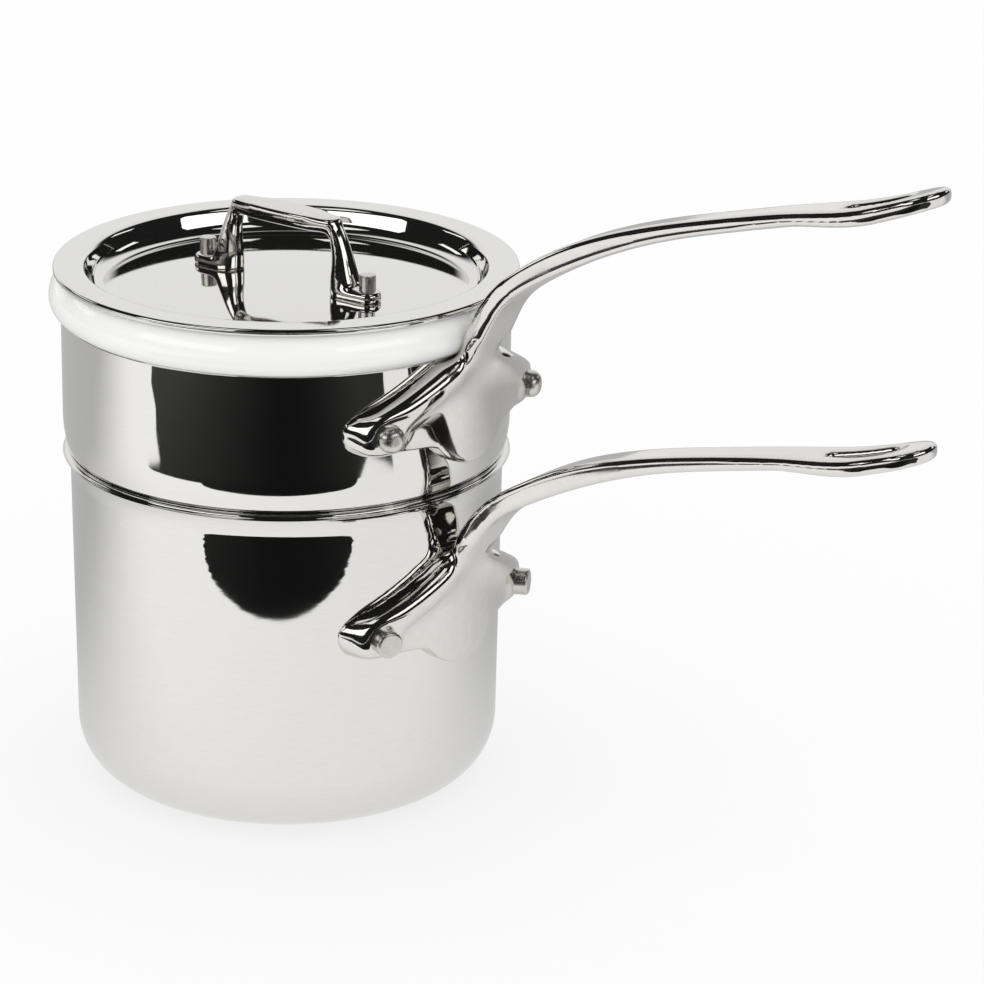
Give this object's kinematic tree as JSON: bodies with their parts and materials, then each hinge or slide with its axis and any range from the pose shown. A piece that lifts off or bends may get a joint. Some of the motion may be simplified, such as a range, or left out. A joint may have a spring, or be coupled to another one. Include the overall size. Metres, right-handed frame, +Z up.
{
  "type": "double boiler",
  "caption": "Steel saucepan with a steel collar standing in its lip, a porcelain insert hanging in the collar, a recessed lid with an arched handle, and long cast handles.",
  "frame": {"origin": "centre of the lower pot's flat base, on the pot's axis", "axes": "+Z up along the pot's axis, +X towards the tips of the long handles, +Y to their left as seen from above with the handles pointing away"},
  "size_m": [0.3288, 0.1574, 0.2483],
  "materials": {
    "pot_steel": "fine satin polish",
    "collar_steel": "mirror polished stainless steel",
    "lid_steel": "mirror polished stainless steel",
    "handle_steel": "polished cast stainless steel",
    "rivet_steel": "satin stainless steel",
    "porcelain": "clear gloss glaze"
  },
  "bodies": {
    "base_pan": {"lower_pot": "pot_steel", "lower_handle": "handle_steel", "lower_rivet_left": "rivet_steel", "lower_rivet_right": "rivet_steel"},
    "collar": {"collar": "collar_steel", "collar_handle": "handle_steel", "collar_rivet_left": "rivet_steel", "collar_rivet_right": "rivet_steel"},
    "insert": {"porcelain_insert": "porcelain"},
    "lid": {"lid": "lid_steel", "lid_handle": "handle_steel", "lid_rivet_left": "rivet_steel", "lid_rivet_right": "rivet_steel"}
  },
  "joints": [
    {"name": "collar_lift", "type": "slide", "parent": "base_pan", "child": "collar", "axis": [0, 0, 1], "range_m": [0, 0.15]},
    {"name": "insert_lift", "type": "slide", "parent": "collar", "child": "insert", "axis": [0, 0, 1], "range_m": [0, 0.16]},
    {"name": "lid_lift", "type": "slide", "parent": "insert", "child": "lid", "axis": [0, 0, 1], "range_m": [0, 0.12]}
  ]
}
